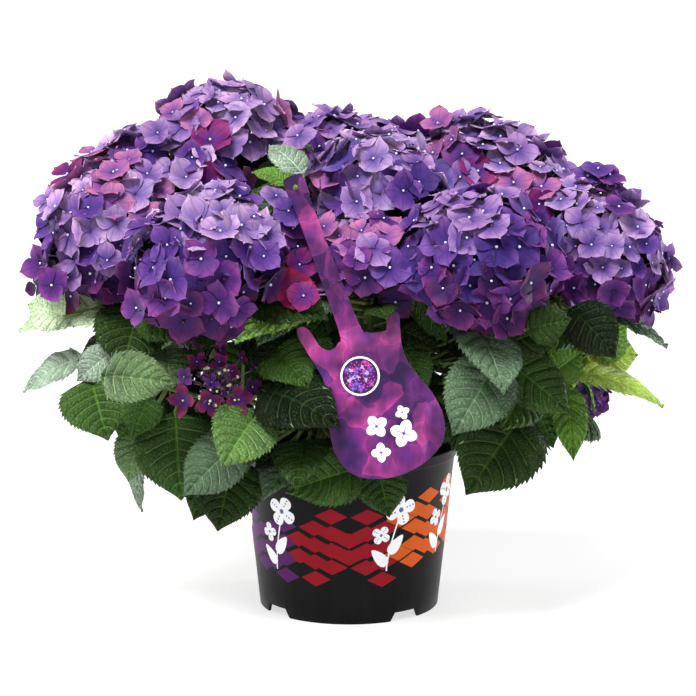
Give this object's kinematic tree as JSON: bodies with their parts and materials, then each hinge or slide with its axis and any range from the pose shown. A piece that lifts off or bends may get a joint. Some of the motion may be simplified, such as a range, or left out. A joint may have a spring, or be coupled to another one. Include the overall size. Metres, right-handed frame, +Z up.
{
  "type": "potted hydrangea shrub",
  "caption": "Mophead hydrangea in full flower with large oval leaves, in its round black nursery pot, with a hanging plant label.",
  "frame": {"origin": "on the ground under the middle of the pot, which is also within a few millimetres of the middle of the plant's bounding box", "axes": "+Z up, -Y towards the front, where the label hangs, +X to the right as seen from the front"},
  "size_m": [0.6947, 0.4768, 0.5664],
  "materials": {
    "black_plastic": "smooth moulded black plastic with a soft sheen and a printed band",
    "potting_soil": "moist dark potting mix of peat and bark crumbs",
    "young_bark": "thin ribbed bark, brown at the foot and green above",
    "green_leaf": "matt to softly glossy leaf with toothed edge and sunk veins",
    "purple_sepal": "velvety sepals from blue-violet to magenta",
    "printed_card": "thin glossy printed plastic label"
  },
  "bodies": {
    "root": {"pot": "black_plastic", "root_ball": "potting_soil", "stock": "young_bark", "plant_label": "printed_card", "cane_far_left": "young_bark", "cane_front_left": "young_bark", "cane_top_left": "young_bark", "cane_middle_back": "young_bark", "cane_centre": "young_bark", "cane_centre_low": "young_bark", "cane_front_right": "young_bark", "cane_top_right": "young_bark", "cane_far_right": "young_bark", "cane_back_left": "young_bark", "cane_back_centre": "young_bark", "cane_back_right": "young_bark", "cane_young_left": "young_bark", "cane_low_right": "young_bark", "cane_sprig_left": "young_bark", "cane_sprig_front": "young_bark", "cane_sprig_right": "young_bark", "cane_label": "young_bark", "leaves_far_left": "green_leaf", "leaves_front_left": "green_leaf", "leaves_top_left": "green_leaf", "leaves_middle_back": "green_leaf", "leaves_centre": "green_leaf", "leaves_centre_low": "green_leaf", "leaves_front_right": "green_leaf", "leaves_top_right": "green_leaf", "leaves_far_right": "green_leaf", "leaves_back_left": "green_leaf", "leaves_back_centre": "green_leaf", "leaves_back_right": "green_leaf", "leaves_young_left": "green_leaf", "leaves_low_right": "green_leaf", "leaves_sprig_left": "green_leaf", "leaves_sprig_front": "green_leaf", "leaves_sprig_right": "green_leaf", "leaves_label": "green_leaf", "head_far_left": "purple_sepal", "head_front_left": "purple_sepal", "head_top_left": "purple_sepal", "head_middle_back": "purple_sepal", "head_centre": "purple_sepal", "head_centre_low": "purple_sepal", "head_front_right": "purple_sepal", "head_top_right": "purple_sepal", "head_far_right": "purple_sepal", "head_back_left": "purple_sepal", "head_back_centre": "purple_sepal", "head_back_right": "purple_sepal", "head_young_left": "purple_sepal", "head_low_right": "purple_sepal"}
  },
  "joints": []
}
